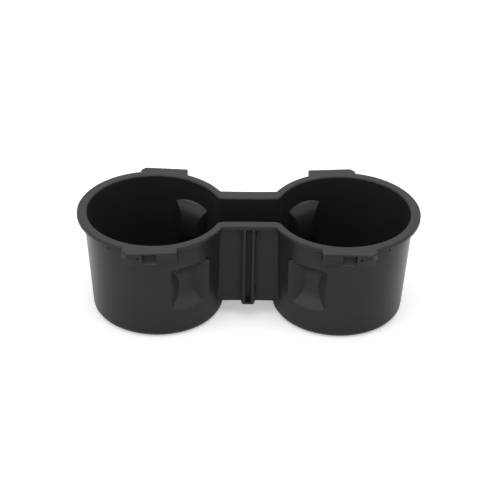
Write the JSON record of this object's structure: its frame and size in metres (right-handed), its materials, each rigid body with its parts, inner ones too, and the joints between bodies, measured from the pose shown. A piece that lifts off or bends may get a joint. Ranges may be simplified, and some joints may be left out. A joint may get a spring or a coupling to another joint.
{
  "type": "car cup holder",
  "caption": "Black plastic twin cup holder insert for a car console: round tapered cups joined by a neck trough, with a rim flange, rim lugs and inward grip bulges.",
  "frame": {"origin": "middle of the foot plane, halfway between the two cups", "axes": "+X along the length from one cup to the other, -Y is the front panel seen in the picture, +Z out of the cup mouths"},
  "size_m": [0.205, 0.1002, 0.0656],
  "materials": {
    "moulded_plastic": "fine moulded grain, semi-matte black"
  },
  "bodies": {
    "root": {"cup_insert": "moulded_plastic"}
  },
  "joints": []
}
